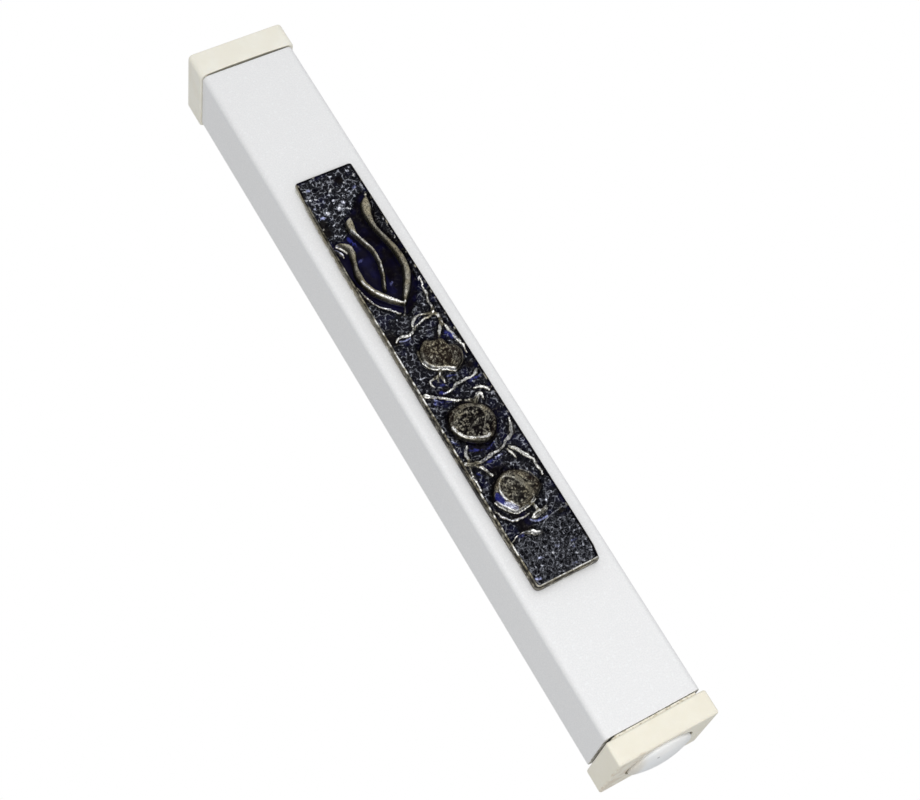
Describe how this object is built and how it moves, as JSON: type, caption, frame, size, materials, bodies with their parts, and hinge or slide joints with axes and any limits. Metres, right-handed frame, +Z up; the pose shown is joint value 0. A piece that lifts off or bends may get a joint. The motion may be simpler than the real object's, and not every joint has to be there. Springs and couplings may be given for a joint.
{
  "type": "mezuzah case",
  "caption": "Slim upright box case for a rolled parchment: rectangular tube, capped ends, pull-out bottom stopper, relief plaque on the front.",
  "frame": {"origin": "middle of the mounting plane on the back, half way up the tube", "axes": "+Z up the case towards the top of the letter, +Y out of the back into the doorpost, the plaque faces -Y"},
  "size_m": [0.0208, 0.0193, 0.1662],
  "materials": {
    "powder_coat": "white powder coat, fine speckle, satin",
    "cap_plastic": "moulded ivory plastic, satin",
    "stopper_plastic": "soft white plastic, satin",
    "pewter": "cast pewter, dark blue-black patina in the recesses, rubbed bright on the relief",
    "adhesive": "thin film of adhesive",
    "foam": "closed-cell foam tape",
    "liner_paper": "waxed release paper",
    "parchment": "dry parchment",
    "sleeve_film": "clear plastic film"
  },
  "bodies": {
    "case": {"case_tube": "powder_coat", "top_cap": "cap_plastic", "bottom_cap": "cap_plastic", "plaque": "pewter", "plaque_adhesive": "adhesive", "mounting_tape": "foam", "tape_liner": "liner_paper"},
    "scroll": {"scroll_parchment": "parchment", "scroll_sleeve": "sleeve_film"},
    "stopper": {"scroll_stopper": "stopper_plastic"}
  },
  "joints": [
    {"name": "scroll_slide", "type": "slide", "parent": "case", "child": "scroll", "axis": [0, 0, -1], "range_m": [0, 0.132]},
    {"name": "stopper_pull", "type": "slide", "parent": "scroll", "child": "stopper", "axis": [0, 0, -1], "range_m": [0, 0.02]}
  ]
}
